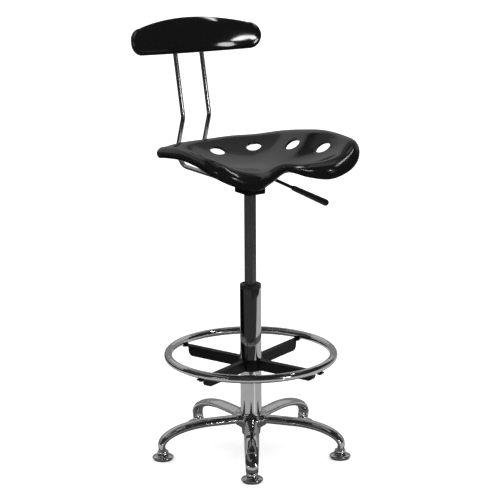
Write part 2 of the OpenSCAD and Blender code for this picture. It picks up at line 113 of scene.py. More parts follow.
def rounded(points, steps=5):
    """Outline whose corners are rounded: each point is (x, y) or (x, y, radius)."""
    out = []
    n = len(points)
    for i, p in enumerate(points):
        here = Vector(p[:2])
        radius = p[2] if len(p) > 2 else 0
        if radius == 0:
            out.append(here)
            continue
        before = (Vector(points[i - 1][:2]) - here).normalized()
        after = (Vector(points[(i + 1) % n][:2]) - here).normalized()
        half = before.angle(after) / 2
        reach = radius / math.tan(half)
        middle = (before + after).normalized() * (radius / math.sin(half)) + here
        start, end = here + before * reach - middle, here + after * reach - middle
        sweep = start.angle_signed(end)
        for k in range(steps + 1):
            turn = -sweep * k / steps
            c, s = math.cos(turn), math.sin(turn)
            out.append(middle + Vector((start.x * c - start.y * s, start.x * s + start.y * c)))
    return out


def lathe(name, profile, body, stands_for, material, place=None, turns=96, steps=5):
    """Solid of revolution about Z from a closed profile of (radius, height, rounding)."""
    bm = bmesh.new()
    outline = rounded(profile, steps)
    axis = [abs(p.x) < ON_AXIS for p in outline]
    rings = []
    for p, on_axis in zip(outline, axis):
        if on_axis:
            v = bm.verts.new((0, 0, p.y))
            rings.append([v] * turns)
        else:
            rings.append([bm.verts.new((p.x * math.cos(math.tau * k / turns),
                                        p.x * math.sin(math.tau * k / turns), p.y))
                          for k in range(turns)])
    for j, ring in enumerate(rings):
        following = rings[(j + 1) % len(rings)]
        both = axis[j] and axis[(j + 1) % len(rings)]
        for k in range(0 if both else turns):
            m = (k + 1) % turns
            corners = []
            for v in (ring[k], ring[m], following[m], following[k]):
                if v not in corners:
                    corners.append(v)
            bm.faces.new(corners)
    if place:
        bm.transform(place)
    add_mesh(name, bm, body, stands_for, material)


def ellipse(half_x, half_y, steps=48):
    return [(half_x * math.cos(math.tau * k / steps), half_y * math.sin(math.tau * k / steps))
            for k in range(steps)]


def across(centre, along, side, outline):
    """Outline laid across a direction, its x along side."""
    up = side.cross(along).normalized()
    return [centre + side * p[0] + up * p[1] for p in outline]


def bent_path(corners, radii, step=math.radians(4)):
    """Points and directions along a path whose inner corners are bent to the radii."""
    out = []
    for i, here in enumerate(corners):
        if i in (0, len(corners) - 1):
            ahead = (corners[1] - here) if i == 0 else (here - corners[-2])
            out.append((here, ahead.normalized()))
            continue
        a = (here - corners[i - 1]).normalized()
        b = (corners[i + 1] - here).normalized()
        turn = a.angle(b)
        axis = a.cross(b).normalized()
        start = here - a * radii[i] * math.tan(turn / 2)
        centre = start + axis.cross(a) * radii[i]
        count = max(3, math.ceil(turn / step))
        for k in range(count + 1):
            spin = Matrix.Rotation(turn * k / count, 3, axis)
            out.append((centre + spin @ (start - centre), spin @ a))
    return out


def bar(name, path, side, radius, body, stands_for, material, end_round=1.2 * MM):
    """Round bar along a path from bent_path, with its ends' edges rounded."""
    steps = 4
    quarter = [math.pi / 2 * k / steps for k in range(steps + 1)]
    ends = [(1 - math.sin(a), 1 - math.cos(a)) for a in quarter]

    def disc(point, along, shrink=0):
        r = radius - end_round * shrink
        return across(point, along, side, ellipse(r, r))

    start, start_along = path[0]
    end, end_along = path[-1]
    rings = [disc(start + start_along * end_round * back, start_along, shrink)
             for back, shrink in reversed(ends)]
    rings += [disc(point, along) for point, along in path[1:-1]]
    rings += [disc(end - end_along * end_round * back, end_along, shrink)
              for back, shrink in ends]
    bm = bmesh.new()
    loft(bm, rings)
    add_mesh(name, bm, body, stands_for, material)


def slab(name, outline, z0, z1, edge, body, stands_for, material, place=None):
    """Plate of an outline between two heights, with rounded edges."""
    bm = bmesh.new()
    loft(bm, [[(p[0], p[1], z) for p in outline] for z in (z0, z1)])
    soften(bm, edge)
    if place:
        bm.transform(place)
    add_mesh(name, bm, body, stands_for, material)


def blend(a, b, c, d, t):
    """Catmull-Rom point between b and c."""
    return 0.5 * (2 * b + (c - a) * t + (2 * a - 5 * b + 4 * c - d) * t * t
                  + (3 * b - a - 3 * c + d) * t * t * t)


# ---- Materials ----


# Part of its range that noise mostly keeps to, and share of the mottling that reaches the colour
NOISE_RANGE = (0.3, 0.7)
TINT_SHARE = 0.25


def make_material(name, color, roughness, metallic=0.0, mottle=0.0, mottle_size=0.02, bump=0.0,
                  bump_size=0.002, wave=0.0, wave_size=0.05, stretch=(1, 1, 1), specular=0.5):
    """Procedural surface: mottled roughness and colour, with a fine bump and a slow wave."""
    material = bpy.data.materials.new(name)
    material.use_nodes = True
    nodes, links = material.node_tree.nodes, material.node_tree.links
    shader = nodes["Principled BSDF"]
    shader.inputs["Metallic"].default_value = metallic
    shader.inputs["Specular IOR Level"].default_value = specular
    place = nodes.new("ShaderNodeTexCoord")
    scale = nodes.new("ShaderNodeMapping")
    scale.inputs["Scale"].default_value = stretch
    links.new(place.outputs["Object"], scale.inputs["Vector"])

    def noise(size, detail):
        n = nodes.new("ShaderNodeTexNoise")
        n.inputs["Scale"].default_value = 1 / size
        n.inputs["Detail"].default_value = detail
        links.new(scale.outputs["Vector"], n.inputs["Vector"])
        return n.outputs["Fac"]

    def ramp(source, low, high):
        n = nodes.new("ShaderNodeMapRange")
        n.inputs["From Min"].default_value, n.inputs["From Max"].default_value = NOISE_RANGE
        n.inputs["To Min"].default_value, n.inputs["To Max"].default_value = low, high
        links.new(source, n.inputs["Value"])
        return n.outputs["Result"]

    patches = noise(mottle_size, detail=6)
    links.new(ramp(patches, roughness * (1 - mottle), roughness * (1 + mottle)),
              shader.inputs["Roughness"])
    tint = nodes.new("ShaderNodeMix")
    tint.data_type = "RGBA"
    amount, darker, lighter = tint.inputs[0], tint.inputs[6], tint.inputs[7]
    darker.default_value = (*[c * (1 - TINT_SHARE * mottle) for c in color], 1)
    lighter.default_value = (*[min(1, c * (1 + TINT_SHARE * mottle)) for c in color], 1)
    links.new(patches, amount)
    links.new(tint.outputs[2], shader.inputs["Base Color"])
    normal = None
    for strength, size, detail in ((wave, wave_size, 1), (bump, bump_size, 3)):
        if strength:
            n = nodes.new("ShaderNodeBump")
            n.inputs["Strength"].default_value = 1.0
            n.inputs["Distance"].default_value = strength
            links.new(noise(size, detail), n.inputs["Height"])
            if normal:
                links.new(normal, n.inputs["Normal"])
            normal = n.outputs["Normal"]
    if normal:
        links.new(normal, shader.inputs["Normal"])
    return material


MATERIALS = {
    "gloss_black": make_material("gloss_black", (0.004, 0.004, 0.0045), 0.07, mottle=0.3,
                                 mottle_size=0.03, bump=0.000008, bump_size=0.0012,
                                 wave=0.00012, wave_size=0.07, specular=0.95),
    "soft_gloss_black": make_material("soft_gloss_black", (0.004, 0.004, 0.0045), 0.12, mottle=0.2,
                                      mottle_size=0.03, bump=0.000008, bump_size=0.0012,
                                      wave=0.00012, wave_size=0.07, specular=0.95),
    "black_plastic": make_material("black_plastic", (0.008, 0.008, 0.009), 0.34, mottle=0.25,
                                   mottle_size=0.008, bump=0.00003, bump_size=0.0008),
    "black_grip": make_material("black_grip", (0.005, 0.005, 0.0055), 0.3, mottle=0.3,
                                mottle_size=0.01, bump=0.00002, bump_size=0.0009, specular=0.25),
    "black_steel": make_material("black_steel", (0.0025, 0.0025, 0.003), 0.28, mottle=0.3,
                                 mottle_size=0.012, bump=0.00003, bump_size=0.0011, specular=0.15),
    "black_cylinder": make_material("black_cylinder", (0.03, 0.03, 0.031), 0.22, mottle=0.25,
                                    mottle_size=0.006, bump=0.00001, bump_size=0.0008,
                                    stretch=(1, 1, 0.2), specular=0.7),
    "chrome": make_material("chrome", (0.72, 0.72, 0.73), 0.055, metallic=1, mottle=0.35,
                            mottle_size=0.02, wave=0.00005, wave_size=0.03),
    "chrome_rod": make_material("chrome_rod", (0.60, 0.60, 0.61), 0.16, metallic=1, mottle=0.3,
                                mottle_size=0.006, bump=0.000004, bump_size=0.0015),
    "chrome_bent": make_material("chrome_bent", (0.76, 0.76, 0.77), 0.07, metallic=1, mottle=0.35,
                                 mottle_size=0.02, wave=0.0009, wave_size=0.02),
    "steel": make_material("steel", (0.5, 0.5, 0.51), 0.3, metallic=1, mottle=0.3,
                           mottle_size=0.003, bump=0.00001, bump_size=0.0006),
    "zinc": make_material("zinc", (0.58, 0.58, 0.55), 0.28, metallic=1, mottle=0.4,
                          mottle_size=0.004, bump=0.00001, bump_size=0.0006),
    "brass": make_material("brass", (0.66, 0.47, 0.18), 0.3, metallic=1, mottle=0.3,
                           mottle_size=0.004, bump=0.00001, bump_size=0.0006),
    "dark_sole": make_material("dark_sole", (0.03, 0.03, 0.03), 0.5, mottle=0.3,
                               mottle_size=0.004, bump=0.00004, bump_size=0.0008),
    "rubber": make_material("rubber", (0.02, 0.02, 0.02), 0.7, mottle=0.2,
                            mottle_size=0.004, bump=0.00004, bump_size=0.0008),
}


# ---- Seat ----

# The seat's numbers are in millimetres, as in part.scad, and turned into metres as its rings are
# made. The crest and the holes were fitted to the photograph by a program.
# Crest on one side, rear middle to front middle: x, y, height, drop of the rolled lip, and how much
# wider than LIP_OUT the roll is there; x and y are drawn in by as much
RIM = [
    (0, 189.3, 718, 25, 1), (70, 185.1, 719.3, 26, 3), (128, 163.5, 721.2, 26, 8),
    (169.5, 114.1, 733, 25.3, 11), (183, 47.5, 743.9, 24, 5), (191.3, -23.1, 752.2, 24, 0),
    (197, -91.8, 751.1, 25, 1), (191.8, -147.8, 746, 34, 6), (155.9, -174.9, 726.3, 35, 15),
    (99.3, -178.9, 714.5, 37.5, 18), (51, -159.3, 712.3, 29, 15), (0, -146.3, 718.2, 19, 9),
]
CREST_STEPS = 8
# The dish's lowest height, its underside straight below it, and the share of the way to the crest
# where it starts to round over
DISH_Z = 675
UNDERSIDE = 5.75
ROUND_OVER = 0.9
# Shares of the way to the crest where the dish has rings, closer together near the crest
DISH_SHARES = ([0.03, 0.1, 0.18] + [0.26 + 0.04 * k for k in range(14)]
               + [0.81, 0.84, 0.87, 0.89, 0.91, 0.93, 0.95, 0.965, 0.98, 0.99])
# The lip's thickness, how far it rolls out and round, and how far its edge bulges down
WALL = 5
LIP_OUT = 8.5
LIP_END = math.radians(125)
LIP_BULGE = 1.6
LIP_STEPS = 14
BULGE_STEPS = 6
# Holes: x, y, z, direction of the wall in plan and its slope
HOLES = [(0, 135, 697, 90, 19), (89.8, 115.8, 698, 47, 19), (135.7, 20.5, 714.5, -5, 32),
         (152.2, -76.6, 722.5, 8, 22)]
HOLE_D = 36
CUTTER_H = 18
HOLE_EDGE = 0.9
BOSS_TOP = 676


def crest_curve():
    """Closed curve through the crest's points on both sides."""
    points = [Vector(p) for p in RIM] + [Vector((-p[0], *p[1:])) for p in RIM[-2:0:-1]]
    n = len(points)
    curve = [blend(points[i - 1], points[i], points[(i + 1) % n], points[(i + 2) % n],
                   k / CREST_STEPS)
             for i in range(n) for k in range(CREST_STEPS)]
    for c in curve:
        shrink = 1 - c[4] / math.hypot(c[0], c[1])
        c[0], c[1] = c[0] * shrink, c[1] * shrink
    return curve


def dish_rise(s):
    """Share of the crest's height that the dish has reached at a share of the way out."""
    return s * s / ROUND_OVER if s < ROUND_OVER else 1 - (1 - s) ** 2 / (1 - ROUND_OVER)


def dish_ring(crest, s, drop=0):
    return [Vector((c[0] * s, c[1] * s, DISH_Z + (c[2] - DISH_Z) * dish_rise(s) - drop)) * MM
            for c in crest]


def lip_ring(crest, angle, inset=0):
    ring = []
    for c in crest:
        out = Vector(c[:2]).normalized() * (LIP_OUT + c[4] - inset) * math.sin(angle)
        fall = (1 - math.cos(angle)) / (1 - math.cos(LIP_END))
        ring.append(Vector((c[0] + out.x, c[1] + out.y,
                            c[2] - inset - (c[3] - inset) * fall)) * MM)
    return ring


def make_seat():
    crest = crest_curve()
    angles = [LIP_END * k / LIP_STEPS for k in range(LIP_STEPS + 1)]
    outer, inner = lip_ring(crest, LIP_END), lip_ring(crest, LIP_END, WALL)
    bulge = []
    for k in range(1, BULGE_STEPS):
        a = math.pi * k / BULGE_STEPS
        bulge.append([p.lerp(q, (1 - math.cos(a)) / 2) - UP * LIP_BULGE * MM * math.sin(a)
                      for p, q in zip(outer, inner)])
    rings = [dish_ring(crest, s) for s in DISH_SHARES]
    rings += [lip_ring(crest, a) for a in angles]
    rings += bulge
    rings += [lip_ring(crest, a, WALL) for a in reversed(angles)]
    rings += [dish_ring(crest, s, UNDERSIDE) for s in reversed(DISH_SHARES)]
    bm = bmesh.new()
    loft(bm, rings)
    cut_holes(add_mesh("seat", bm, "seat", ["seat_shell"], "soft_gloss_black"))
    make_bosses()


def cut_holes(seat):
    """Cuts the holes through the dish and rounds their edges."""
    mirrored = [(-x, y, z, 180 - turn, slope) for x, y, z, turn, slope in HOLES[1:]]
    cutters = bmesh.new()
    for x, y, z, turn, slope in HOLES + mirrored:
        place = (Matrix.Translation(Vector((x, y, z)) * MM)
                 @ Matrix.Rotation(math.radians(turn), 4, "Z")
                 @ Matrix.Rotation(math.radians(-slope), 4, "Y"))
        bmesh.ops.create_cone(cutters, cap_ends=True, segments=72, radius1=HOLE_D / 2 * MM,
                              radius2=HOLE_D / 2 * MM, depth=CUTTER_H * MM, matrix=place)
    mesh = bpy.data.meshes.new("cutters")
    cutters.to_mesh(mesh)
    cutters.free()
    tool = bpy.data.objects.new("cutters", mesh)
    bpy.context.scene.collection.objects.link(tool)
    cut = seat.modifiers.new("holes", "BOOLEAN")
    cut.operation = "DIFFERENCE"
    cut.solver = "EXACT"
    cut.object = tool
    bpy.context.view_layer.update()
    evaluated = seat.evaluated_get(bpy.context.evaluated_depsgraph_get())
    done = bpy.data.meshes.new_from_object(evaluated)
    seat.modifiers.clear()
    bpy.data.objects.remove(tool)
    bm = bmesh.new()
    bm.from_mesh(done)
    soften(bm, HOLE_EDGE * MM, sharper=55, clamp=True)
    for face in bm.faces:
        face.smooth = True
    bm.to_mesh(done)
    bm.free()
    done.materials.clear()
    done.materials.append(MATERIALS["soft_gloss_black"])
    seat.data = done


def make_bosses():
    """Bosses under the dish, each round an insert."""
    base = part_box("seat_plate")[1].z + 0.2 * MM
    top = BOSS_TOP * MM
    lo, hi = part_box("seat_inserts")
    r = 5 * MM
    places = [(hi.x - r, hi.y - r), (lo.x + r, hi.y - r), (lo.x + r, lo.y + r),
              (hi.x - r, lo.y + r)]
    for k, (x, y) in enumerate(places):
        lathe(f"seat_boss_{k + 1}",
              [(r, base), (9.5 * MM, base, 0.8 * MM), (10.5 * MM, top), (r, top)],
              "seat", ["seat_shell"], "soft_gloss_black", Matrix.Translation((x, y, 0)), 48)


# ---- Backrest and its rods ----

LEAN = math.radians(12.2)
ROLL = math.radians(2)
BACK_W = 358 * MM
BACK_H = 84.8 * MM
BACK_T = 14 * MM
BEND_R = 520 * MM
BACK_Z = 913 * MM
END_H = 63 * MM
SHELL_Y = -10.6 * MM
# The section's corners behind as a share of its smaller side, its fullness in front, and the
# thickness at the very ends as a share of the middle's
CORNER_SHARE = 0.46
FULLNESS = 0.85
END_SHARE = 0.35
# Sections round an end, in degrees, and along half of the middle
END_ANGLES = (3, 6, 10, 15, 20, 26, 32, 38, 44, 50, 56, 62, 68, 73, 78, 82, 85, 88)
HALF_STEPS = 24
# Path of a rod: out behind the seat, up at the corner, and leaning back from the kink
FRONT_Y = 66 * MM
CORNER_Y = 265 * MM
CORNER_R = 38 * MM
KINK = Vector((0, 226, 768)) * MM
KINK_R = 24 * MM
ROD_TOP = 75 * MM
BACK_Y = KINK.y + (BACK_Z - KINK.z) * math.tan(LEAN)
ROD_FRAME = Matrix.Translation((0, BACK_Y, BACK_Z)) @ Matrix.Rotation(-LEAN, 4, "X")
BACK_FRAME = (ROD_FRAME @ Matrix.Translation((0, 0, END_H / 2)) @ Matrix.Rotation(ROLL, 4, "Y")
              @ Matrix.Translation((0, 0, -END_H / 2)))


def back_section(t, h):
    """Section of the backrest: flat behind with round corners, bulged in front."""
    r = min(t, h) * CORNER_SHARE
    points = [(t / 2 - r + r * math.cos(math.radians(a)), r - h / 2 + r * math.sin(math.radians(a)))
              for a in range(-90, 1, 9)]
    points += [(x, -y) for x, y in reversed(points)]
    for a in range(93, 268, 3):
        x, y = math.cos(math.radians(a)), math.sin(math.radians(a))
        points.append((-t / 2 * abs(x) ** FULLNESS, math.copysign(h / 2 * abs(y) ** FULLNESS, y)))
    return points


def make_backrest():
    """Sections along the bend: a crowned middle between two half-round ends."""
    half_arc = BEND_R * math.asin(BACK_W / 2 / BEND_R)
    straight = half_arc - END_H / 2
    stations = [sign * (straight + END_H / 2 * math.sin(math.radians(a))) for sign in (-1, 1)
                for a in END_ANGLES]
    stations += [straight * (k / HALF_STEPS - 1) for k in range(2 * HALF_STEPS + 1)]
    rings = []
    for s in sorted(stations):
        over = abs(s) - straight
        dip, crown = END_H / 2, 0
        if over > 0:
            dip = math.sqrt((END_H / 2) ** 2 - over * over)
        elif over < 0:
            crown = (BACK_H - END_H) * math.cos(math.pi / 2 * s / straight) ** FULLNESS
        h = 2 * dip + crown
        t = BACK_T * min(1, END_SHARE + (1 - END_SHARE) * dip / (END_H / 2))
        middle = END_H / 2 + crown / 2
        turn = s / BEND_R
        rings.append([BACK_FRAME @ Vector(((BEND_R + q[0]) * math.sin(turn),
                                           SHELL_Y - BACK_T / 2 - BEND_R
                                           + (BEND_R + q[0]) * math.cos(turn), middle + q[1]))
                      for q in back_section(t, h)])
    bm = bmesh.new()
    loft(bm, rings)
    add_mesh("backrest", bm, "seat", ["backrest_shell"], "gloss_black", sharp=80)


def make_backrest_plate():
    half_w, low, high, r = 52 * MM, 10 * MM, 64 * MM, 9 * MM
    outline = rounded([(half_w, high, r), (-half_w, high, r), (-half_w, low, r), (half_w, low, r)],
                      6)
    stand = Matrix.Rotation(math.pi / 2, 4, "X")
    back, front = -SHELL_Y - 3.4 * MM, -SHELL_Y - 0.2 * MM
    slab("backrest_plate", outline, back, front, 0.7 * MM, "seat", ["backrest_bracket"],
         "black_steel", BACK_FRAME @ stand)


def make_back_rods():
    radius = radius_of("left_back_rod")
    bore, wall = radius + 0.1 * MM, 3 * MM
    for name in ("left", "right"):
        lo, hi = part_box(f"{name}_back_rod")
        x = (lo.x + hi.x) / 2
        lathe(f"{name}_rod_socket",
              [(bore, 10 * MM), (radius + wall, 10 * MM, 0.8 * MM),
               (radius + wall, ROD_TOP + wall, 2.5 * MM), (0, ROD_TOP + wall),
               (0, ROD_TOP + 0.5 * MM), (bore, ROD_TOP + 0.5 * MM)],
              "seat", ["backrest_bracket"], "black_steel",
              ROD_FRAME @ Matrix.Translation((x, 0, 0)), 48)
        rod_z = lo.z + radius
        corners = [Vector((x, FRONT_Y, rod_z)), Vector((x, CORNER_Y, rod_z)),
                   Vector((x, KINK.y, KINK.z)), ROD_FRAME @ Vector((x, 0, ROD_TOP))]
        bar(f"{name}_rod", bent_path(corners, [0, CORNER_R, KINK_R, 0]), X_AXIS, radius, "seat",
            [f"{name}_back_rod"], "chrome_rod")


# ---- Lever ----

LEVER_DROP = math.radians(27)
LEVER_BEND_X = 64 * MM
LEVER_REACH = 222 * MM
LEVER_R = 4 * MM


def make_lever():
    """The rod from its pivot to inside the grip, and the grip along its sloping part."""
    lo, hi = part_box("lever_rod")
    pivot_z = hi.z - LEVER_R
    end_x = LEVER_REACH - 12 * MM
    corners = [Vector((lo.x, 0, pivot_z)), Vector((LEVER_BEND_X, 0, pivot_z)),
               Vector((end_x, 0, pivot_z - (end_x - LEVER_BEND_X) * math.tan(LEVER_DROP)))]
    bar("lever_bar", bent_path(corners, [0, 16 * MM, 0]), Y_AXIS, LEVER_R, "lever",
        ["lever_rod"], "black_steel", 0.6 * MM)
    near, far = 62 * MM, (LEVER_REACH - LEVER_BEND_X) / math.cos(LEVER_DROP)
    place = (Matrix.Translation((LEVER_BEND_X, 0, pivot_z))
             @ Matrix.Rotation(math.pi / 2 + LEVER_DROP, 4, "Y"))
    r = 8.2 * MM
    nose = [(r * math.cos(math.radians(a)), far - r * (1 - math.sin(math.radians(a))))
            for a in range(6, 90, 6)]
    lathe("lever_grip_body",
          [(0, near + 0.5 * MM), (5.2 * MM, near, 0.6 * MM), (6.4 * MM, near + 4 * MM, 2 * MM),
           (6.6 * MM, near + 9 * MM, 4 * MM), (r, far - r)] + nose + [(0, far)],
          "lever", ["lever_grip"], "black_grip", place, 64)


# ---- Column, gas lift and mechanism ----

TUBE_WALL = 1.5 * MM


def make_column():
    lo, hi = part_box("column_tube")
    outer = radius_of("column_tube")
    inner = outer - TUBE_WALL
    lathe("column_chrome", [(inner, lo.z), (outer, lo.z), (outer, hi.z, 0.2 * MM), (inner, hi.z)],
          "base", ["column_tube"], "chrome", turns=160)


def make_lift():
    lo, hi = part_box("gas_cylinder")
    r = radius_of("gas_cylinder")
    bore, neck = r - 3 * MM, 4.06 * MM
    socket_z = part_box("mechanism_housing")[0].z
    valve = hi.z - 36 * MM
    lathe("gas_cylinder_tube",
          [(bore, lo.z), (r, lo.z, 0.6 * MM), (r, socket_z), (r - 0.4 * MM, hi.z, 0.4 * MM),
           (neck, hi.z), (neck, valve), (bore, valve)],
          "seat", ["gas_cylinder"], "black_cylinder", turns=128)


def make_collar():
    """The guide bush, with a shallow groove round its top."""
    low, top = [corner.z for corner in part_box("guide_bush")]
    outer = radius_of("column_tube")
    tube_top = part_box("column_tube")[1].z
    inner = radius_of("gas_cylinder") + 0.075 * MM
    groove = top - 1.8 * MM
    lathe("column_collar",
          [(inner, low), (outer - TUBE_WALL, low), (outer - TUBE_WALL, tube_top),
           (outer, tube_top), (outer, top, 1.4 * MM), (outer - 3.4 * MM, top, 0.6 * MM),
           (outer - 4.4 * MM, groove, 0.5 * MM), (inner + 3.4 * MM, groove, 0.5 * MM),
           (inner + 2.4 * MM, top, 0.5 * MM), (inner, top, 0.3 * MM)],
          "base", ["guide_bush"], "black_plastic", turns=128)


def make_housing():
    """Open box with rounded edges below and a hole in its floor for the gas cylinder."""
    lo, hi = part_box("mechanism_housing")
    r = 7 * MM
    outline = rounded([(hi.x, hi.y, r), (lo.x, hi.y, r), (lo.x, lo.y, r), (hi.x, lo.y, r)], 8)
    inner = [(p.x * 0.9, p.y * 0.92) for p in outline]
    hole = radius_of("gas_cylinder") + 0.3 * MM
    angles = [math.atan2(p.y, p.x) for p in outline]
    eye = [(hole * math.cos(a), hole * math.sin(a)) for a in angles]
    floor_z = lo.z + 3 * MM
    edge = 1.2 * MM
    shrink = [p * (1 - edge / p.length) for p in outline]
    round_off = [p * 0.35 + q * 0.65 for p, q in zip(shrink, outline)]
    levels = [(eye, floor_z), (eye, lo.z), (shrink, lo.z), (round_off, lo.z + 0.3 * MM),
              (outline, lo.z + edge), (outline, hi.z), (inner, hi.z), (inner, floor_z)]
    bm = bmesh.new()
    loft(bm, [[(p[0], p[1], z) for p in loop] for loop, z in levels], closed=True)
    add_mesh("mechanism_box", bm, "seat", ["mechanism_housing"], "black_steel")


# ---- Base ----

LEG_COUNT = 5
# Half-axes of a leg's oval section at its root and its tip
LEG_ROOT = (17.5 * MM, 9.7 * MM)
LEG_TIP = (14.5 * MM, 8.2 * MM)
# Heights of a leg: at its root, where it starts to turn straight down, and at its end
ROOT_Z = 78.5 * MM
OUT_Z = 33 * MM
END_Z = 22 * MM
# Distances from the column's axis: where a leg starts, and where it starts to bend
ROOT_R = 29 * MM
LEG_BEND_R = 104 * MM


def leg_turn(k):
    lo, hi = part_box(f"glide_{k}")
    return math.atan2((lo.y + hi.y) / 2, (lo.x + hi.x) / 2)


def leg_path(foot_r):
    """Points, directions and shares of the taper: level, a quarter of an ellipse, then down."""
    out_r = foot_r + 3 * MM
    long, tall = out_r - LEG_BEND_R, ROOT_Z - OUT_Z
    path = [(Vector((ROOT_R + (LEG_BEND_R - ROOT_R) * k / 4, 0, ROOT_Z)), X_AXIS, 0)
            for k in range(4)]
    steps = 48
    for k in range(steps + 1):
        a = math.pi / 2 * k / steps
        path.append((Vector((LEG_BEND_R + long * math.sin(a), 0, OUT_Z + tall * math.cos(a))),
                     Vector((long * math.cos(a), 0, -tall * math.sin(a))).normalized(),
                     (k / steps) ** 2))
    for k in (1, 2, 3):
        path.append((Vector((out_r - 2 * MM * k / 3, 0, OUT_Z + (END_Z - OUT_Z) * k / 3)), -UP, 1))
    return path


def make_base():
    lo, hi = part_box("glide_1")
    foot_r = math.hypot((lo.x + hi.x) / 2, (lo.y + hi.y) / 2)
    path = leg_path(foot_r)
    for k in range(1, LEG_COUNT + 1):
        spin = Matrix.Rotation(leg_turn(k), 4, "Z")
        outside, inside = [
            [across(at, along, Y_AXIS, ellipse(*[root + (tip - root) * t - inset
                                                 for root, tip in zip(LEG_ROOT, LEG_TIP)], 56))
             for at, along, t in path] for inset in (0, TUBE_WALL)]
        bm = bmesh.new()
        loft(bm, outside + inside[::-1], closed=True)
        bm.transform(spin)
        add_mesh(f"leg_tube_{k}", bm, "base", [f"leg_{k}"], "chrome_bent")
        make_glide(k, spin @ Matrix.Translation((foot_r, 0, 0)))
    make_hub()


def make_glide(k, place):
    """Bell with a stem up into the leg, and the sole under it."""
    stem_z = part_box(f"glide_{k}")[1].z
    rim, skirt, waist, neck, stem = 24.9 * MM, 23 * MM, 13 * MM, 12.4 * MM, 4 * MM
    sole_z, rim_z, skirt_z = 3 * MM, 7.6 * MM, 9 * MM
    neck_z = END_Z - 0.2 * MM
    waist_z = neck_z - 3 * MM
    quarter = [math.radians(a) for a in range(0, 91, 9)]
    bell = [(skirt - (skirt - waist) * math.sin(a),
             skirt_z + (waist_z - skirt_z) * (1 - math.cos(a))) for a in quarter]
    lathe(f"glide_bell_{k}",
          [(0, sole_z), (rim - 1.6 * MM, sole_z, 0.4 * MM), (rim, sole_z + 1.8 * MM, 1.5 * MM),
           (rim, rim_z, 1.4 * MM)] + bell
          + [(neck, neck_z, 0.8 * MM), (stem, neck_z), (stem, stem_z, 0.6 * MM), (0, stem_z)],
          "base", [f"glide_{k}"], "chrome", place, 72)
    sole, sole_top = 22 * MM, sole_z - 0.1 * MM
    lathe(f"glide_sole_{k}",
          [(0, 0), (sole - 0.4 * MM, 0, 0.8 * MM), (sole, sole_top, 0.3 * MM), (0, sole_top)],
          "base", ["glide_soles"], "dark_sole", place, 64)


def make_hub():
    """The hub's turned body, and a flared socket for each leg."""
    tube = radius_of("column_tube") + 0.05 * MM
    low, top = [corner.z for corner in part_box("base_hub")]
    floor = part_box("column_tube")[0].z
    eye, cup, drum, collar = 18 * MM, 22.5 * MM, 31 * MM, 28 * MM
    lathe("hub_body",
          [(tube, floor), (eye, floor), (eye, low, 0.5 * MM), (cup - 0.9 * MM, low, 1.4 * MM),
           (cup, 54 * MM, 4 * MM), (drum, 61 * MM, 3 * MM), (drum, 88 * MM, 3 * MM),
           (collar, 89.5 * MM, 1 * MM), (collar, top, 1.3 * MM), (tube, top, 0.4 * MM)],
          "base", ["base_hub"], "chrome", turns=128)
    half_w, half_h, r = 20.5 * MM, 13 * MM, 11 * MM
    outer = rounded([(half_w, half_h, r), (-half_w, half_h, r), (-half_w, -half_h, r),
                     (half_w, -half_h, r)], 11)
    gap = 0.2 * MM
    angles = [math.atan2(p.y / half_h, p.x / half_w) for p in outer]
    hole = [((LEG_ROOT[0] + gap) * math.cos(a), (LEG_ROOT[1] + gap) * math.sin(a)) for a in angles]
    near, far, edge = 24 * MM, 38 * MM, 1.6 * MM
    half_edge = 0.3 * edge
    shrink = [p * (1 - edge / p.length) for p in outer]
    half = [p * (1 - half_edge / p.length) for p in outer]
    flare = [(p[0] * 1.06, p[1] * 1.1) for p in hole]
    loops = [(near, outer), (far - edge, outer), (far - half_edge, half), (far, shrink),
             (far, flare), (far - 1.5 * MM, hole), (far - 6 * MM, hole)]
    for k in range(1, LEG_COUNT + 1):
        bm = bmesh.new()
        loft(bm, [across(Vector((x, 0, ROOT_Z)), X_AXIS, Y_AXIS, loop) for x, loop in loops],
             capped=False)
        bm.transform(Matrix.Rotation(leg_turn(k), 4, "Z"))
        add_mesh(f"hub_socket_{k}", bm, "base", ["base_hub"], "chrome")


# ---- Foot ring ----

ARM_COUNT = 4
FIRST_ARM = math.radians(20.4)
RING_TURNS = 192


def make_ring():
    lo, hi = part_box("foot_ring")
    tube = (hi.z - lo.z) / 2
    ring_z = (hi.z + lo.z) / 2
    ring_r = (hi.x - lo.x) / 2 - tube
    rings = []
    for k in range(RING_TURNS):
        a = math.tau * k / RING_TURNS
        out = Vector((math.cos(a), math.sin(a), 0))
        rings.append([out * (ring_r + p[0]) + UP * (ring_z + p[1])
                      for p in ellipse(tube, tube, 40)])
    bm = bmesh.new()
    loft(bm, rings, closed=True)
    add_mesh("ring_tube", bm, "foot_ring", ["foot_ring"], "chrome_bent")
    make_arms(ring_r)


def make_arms(ring_r):
    """Deep arms from the hub, each with a thin tab over the ring at its end."""
    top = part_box("ring_spider")[1].z
    low = top - 24.5 * MM
    start, end_r, tab_r = 25.5 * MM, ring_r - 17 * MM, ring_r + 8 * MM
    half_w, tab_z = 7.5 * MM, top - 3.4 * MM
    profile = rounded([(start, top), (start, low), (end_r, low, 12 * MM),
                       (end_r + 2 * MM, tab_z, 1 * MM), (tab_r, tab_z, 0.5 * MM),
                       (tab_r, top, 0.5 * MM)], 8)
    for k in range(ARM_COUNT):
        bm = bmesh.new()
        loft(bm, [[(p.x, y, p.y) for p in profile] for y in (-half_w, half_w)])
        soften(bm, 0.9 * MM)
        bm.transform(Matrix.Rotation(FIRST_ARM + math.tau / ARM_COUNT * k, 4, "Z"))
        add_mesh(f"spider_arm_{k + 1}", bm, "foot_ring", ["ring_spider"], "black_steel")


